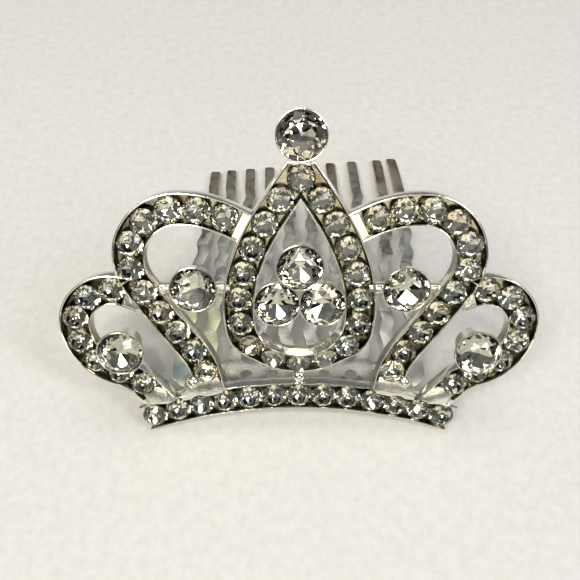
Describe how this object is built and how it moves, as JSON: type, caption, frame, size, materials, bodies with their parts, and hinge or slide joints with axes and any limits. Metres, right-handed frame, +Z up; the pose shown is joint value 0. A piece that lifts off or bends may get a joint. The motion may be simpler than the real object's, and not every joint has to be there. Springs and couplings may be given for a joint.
{
  "type": "tiara comb",
  "caption": "Small crown-shaped tiara of open metal channels set with clear round stones, on a stamped hair comb that slides into the hair.",
  "frame": {"origin": "on the surface it rests on, under the middle of its outer box", "axes": "+X to the wearer's left along the bar, +Y back along the comb's teeth, +Z up"},
  "size_m": [0.0686, 0.0572, 0.0404],
  "materials": {
    "plated_metal": "bright silver-coloured plate over cast and stamped metal, a little worn and cloudy",
    "clear_stone": "clear faceted glass with a mirror foil behind"
  },
  "bodies": {
    "root": {"crown_with_comb": "plated_metal", "top_stone": "clear_stone", "trio_stone_top": "clear_stone", "trio_stone_left": "clear_stone", "trio_stone_right": "clear_stone", "side_stone_left": "clear_stone", "side_stone_right": "clear_stone", "raised_stone_left": "clear_stone", "raised_stone_right": "clear_stone", "bar_stones": "clear_stone", "teardrop_stones": "clear_stone", "tall_arch_stones_left": "clear_stone", "tall_arch_stones_right": "clear_stone", "small_arch_stones_left": "clear_stone", "small_arch_stones_right": "clear_stone"}
  },
  "joints": []
}
